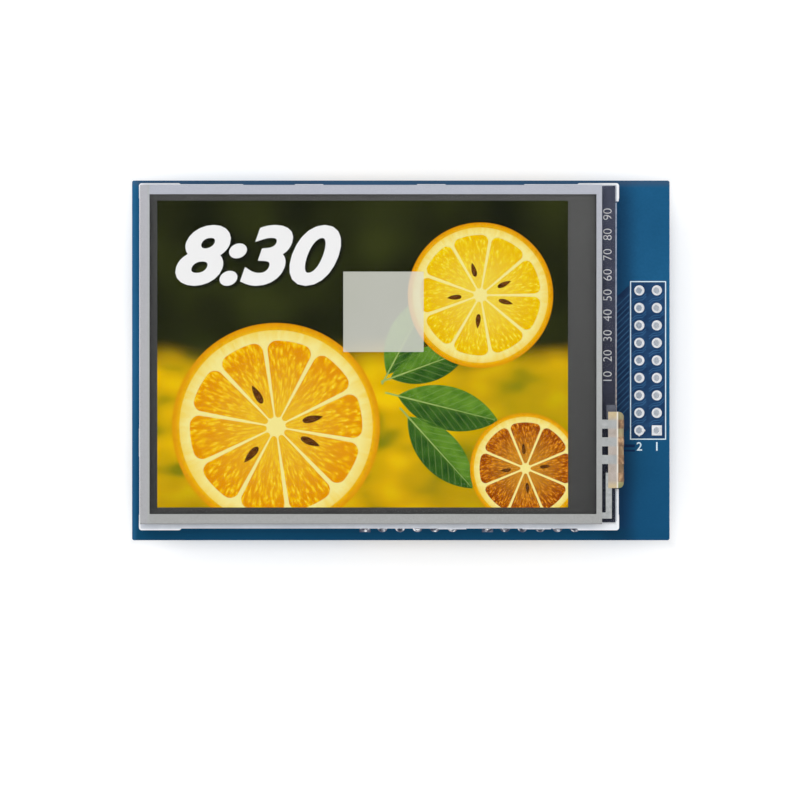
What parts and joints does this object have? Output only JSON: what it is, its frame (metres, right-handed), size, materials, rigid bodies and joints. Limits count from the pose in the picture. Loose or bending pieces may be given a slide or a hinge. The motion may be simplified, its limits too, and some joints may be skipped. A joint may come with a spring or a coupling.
{
  "type": "tft display module",
  "caption": "Framed colour display with a resistive touch panel and folded flex tails on a blue plug-in circuit board, with pin headers and a card socket below.",
  "frame": {"origin": "below the middle of the circuit board, level with the tips of the header pins", "axes": "+Z out of the screen, +X along the board's length towards the expansion holes, +Y towards the digital headers"},
  "size_m": [0.078, 0.0522, 0.0149],
  "materials": {
    "solder_mask": "blue solder resist over glass-fibre board, satin gloss",
    "print_ink": "white printed line",
    "tinned_copper": "bright tin plating",
    "solder": "bright solder",
    "header_plastic": "black moulded nylon",
    "gold_plate": "gold-plated pins",
    "foam": "double-sided foam tape",
    "frame_plastic": "white moulded polycarbonate",
    "reflector_film": "white mirror film",
    "guide_acrylic": "clear moulded acrylic",
    "diffuser_film": "matt white film",
    "prism_film": "clear film with fine ridges",
    "amber_flex": "amber polyimide film",
    "lamp_body": "white lamp body",
    "black_tape": "black adhesive tape",
    "polarizer_film": "grey polarizing film",
    "display_glass": "clear thin glass",
    "lit_picture": "lit picture in dark green, gold and orange",
    "black_mask": "black mask round the picture",
    "silicon": "ground silicon",
    "touch_glass": "clear glass",
    "border_ink": "grey printed border",
    "silver_ink": "printed silver",
    "touch_film": "clear hard-coated film",
    "tail_film": "amber translucent film",
    "copper": "bare copper",
    "grey_film": "dark translucent film",
    "socket_plastic": "black moulded plastic",
    "stamped_steel": "plated stamped steel",
    "contact_metal": "gold-plated spring bronze",
    "chip_plastic": "black moulded epoxy",
    "capacitor_ceramic": "tan ceramic",
    "resistor_ceramic": "black glazed ceramic",
    "tantalum_plastic": "yellow moulded epoxy"
  },
  "bodies": {
    "root": {"analog_header_base": "header_plastic", "analog_header_pins": "gold_plate", "array_glass": "display_glass", "backlight_flex": "amber_flex", "backlight_frame": "frame_plastic", "backlight_lamps": "lamp_body", "black_matrix": "black_mask", "board_expansion_pads": "tinned_copper", "buffer_chip_1": "chip_plastic", "buffer_chip_2": "chip_plastic", "buffer_chip_leads": "tinned_copper", "card_socket_base": "socket_plastic", "card_socket_contacts": "contact_metal", "card_socket_shell": "stamped_steel", "chip_capacitor_ends": "tinned_copper", "chip_capacitors": "capacitor_ceramic", "chip_resistor_ends": "tinned_copper", "chip_resistors": "resistor_ceramic", "circuit_board": "solder_mask", "diffuser_sheet": "diffuser_film", "digital_high_header_base": "header_plastic", "digital_high_header_pins": "gold_plate", "digital_low_header_base": "header_plastic", "digital_low_header_pins": "gold_plate", "display_flex": "amber_flex", "driver_chip": "silicon", "expansion_outline": "print_ink", "filter_glass": "display_glass", "flex_solder": "solder", "foam_tape": "foam", "front_polarizer": "polarizer_film", "header_pads": "tinned_copper", "header_solder": "solder", "ledge_tape": "black_tape", "light_guide": "guide_acrylic", "pixel_layer": "lit_picture", "power_header_base": "header_plastic", "power_header_pins": "gold_plate", "prism_sheet_lower": "prism_film", "prism_sheet_upper": "prism_film", "rear_polarizer": "polarizer_film", "reflector_sheet": "reflector_film", "regulator": "chip_plastic", "regulator_leads": "tinned_copper", "rim_tape": "black_tape", "tail_copper": "copper", "tail_patch": "grey_film", "tantalum_capacitors": "tantalum_plastic", "tantalum_ends": "tinned_copper", "touch_border": "border_ink", "touch_film": "touch_film", "touch_gasket": "black_tape", "touch_glass": "touch_glass", "touch_tail": "tail_film", "touch_traces": "silver_ink", "transistor": "chip_plastic", "transistor_leads": "tinned_copper"}
  },
  "joints": []
}
